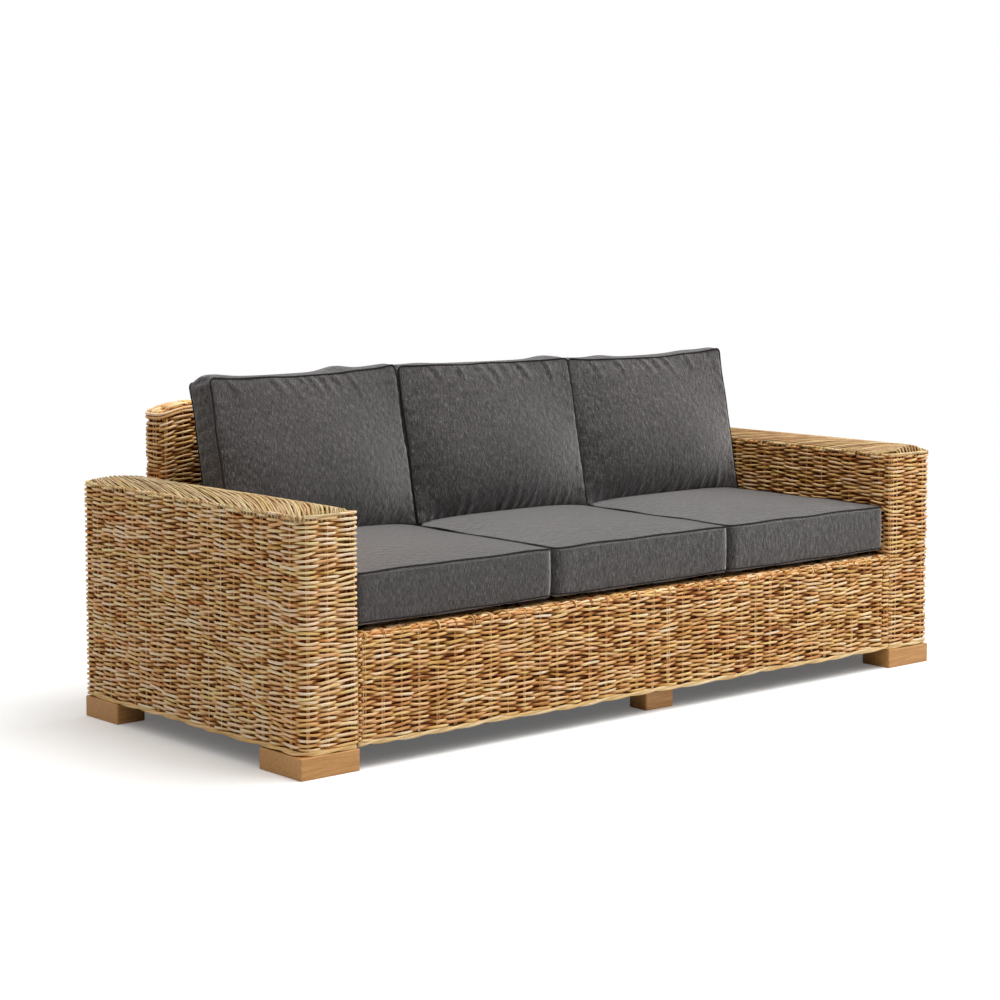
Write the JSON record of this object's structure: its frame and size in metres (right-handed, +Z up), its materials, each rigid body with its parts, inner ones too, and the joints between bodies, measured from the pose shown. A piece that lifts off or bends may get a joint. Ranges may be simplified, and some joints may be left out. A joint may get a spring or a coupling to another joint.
{
  "type": "rattan garden sofa",
  "caption": "Low three-seat garden sofa with woven rattan box arms, back and apron, wooden feet and loose box cushions for seat and back.",
  "frame": {"origin": "centre of the sofa's footprint, on the floor", "axes": "+X to the right seen from the front, along the sofa's length; +Y to the back; +Z up"},
  "size_m": [2.2, 0.934, 0.8615],
  "materials": {
    "weave": "natural woven rattan, satin",
    "hem": "flat rattan cane, satin",
    "pole": "rattan pole, plain",
    "timber": "sawn hardwood, plain",
    "foot": "hardwood, oiled",
    "fabric": "woven outdoor fabric, matt"
  },
  "bodies": {
    "frame": {"apron_hem": "hem", "apron_strut_centre": "pole", "apron_strut_left": "pole", "apron_strut_right": "pole", "apron_weave": "weave", "back_strut_centre": "pole", "back_strut_left": "pole", "back_strut_right": "pole", "back_top_rail": "timber", "back_weave": "weave", "front_bottom_rail": "timber", "front_left_foot": "foot", "front_middle_foot": "foot", "front_right_foot": "foot", "left_arm_hem": "hem", "left_arm_weave": "weave", "left_front_inner_post": "pole", "left_front_outer_post": "pole", "left_inner_bottom_rail": "pole", "left_inner_top_rail": "pole", "left_outer_bottom_rail": "pole", "left_outer_top_rail": "pole", "left_rear_inner_post": "pole", "left_rear_outer_post": "pole", "rear_bottom_rail": "timber", "rear_hem": "hem", "rear_left_foot": "foot", "rear_middle_foot": "foot", "rear_right_foot": "foot", "right_arm_hem": "hem", "right_arm_weave": "weave", "right_front_inner_post": "pole", "right_front_outer_post": "pole", "right_inner_bottom_rail": "pole", "right_inner_top_rail": "pole", "right_outer_bottom_rail": "pole", "right_outer_top_rail": "pole", "right_rear_inner_post": "pole", "right_rear_outer_post": "pole", "seat_centre_beam": "timber", "seat_front_rail": "timber", "seat_rear_ledge": "timber", "seat_slat_1": "timber", "seat_slat_2": "timber", "seat_slat_3": "timber", "seat_slat_4": "timber", "seat_slat_5": "timber", "seat_slat_6": "timber", "seat_slat_7": "timber", "seat_slat_8": "timber"},
    "left_seat_cushion": {"left_seat_cushion": "fabric"},
    "left_back_cushion": {"left_back_cushion": "fabric"},
    "centre_seat_cushion": {"centre_seat_cushion": "fabric"},
    "centre_back_cushion": {"centre_back_cushion": "fabric"},
    "right_seat_cushion": {"right_seat_cushion": "fabric"},
    "right_back_cushion": {"right_back_cushion": "fabric"}
  },
  "joints": [
    {"name": "left_seat_cushion_lift", "type": "slide", "parent": "frame", "child": "left_seat_cushion", "axis": [0, 0, 1], "range_m": [0, 0.4]},
    {"name": "left_back_cushion_lift", "type": "slide", "parent": "left_seat_cushion", "child": "left_back_cushion", "axis": [0, 0, 1], "range_m": [0, 0.4]},
    {"name": "centre_seat_cushion_lift", "type": "slide", "parent": "frame", "child": "centre_seat_cushion", "axis": [0, 0, 1], "range_m": [0, 0.4]},
    {"name": "centre_back_cushion_lift", "type": "slide", "parent": "centre_seat_cushion", "child": "centre_back_cushion", "axis": [0, 0, 1], "range_m": [0, 0.4]},
    {"name": "right_seat_cushion_lift", "type": "slide", "parent": "frame", "child": "right_seat_cushion", "axis": [0, 0, 1], "range_m": [0, 0.4]},
    {"name": "right_back_cushion_lift", "type": "slide", "parent": "right_seat_cushion", "child": "right_back_cushion", "axis": [0, 0, 1], "range_m": [0, 0.4]}
  ]
}
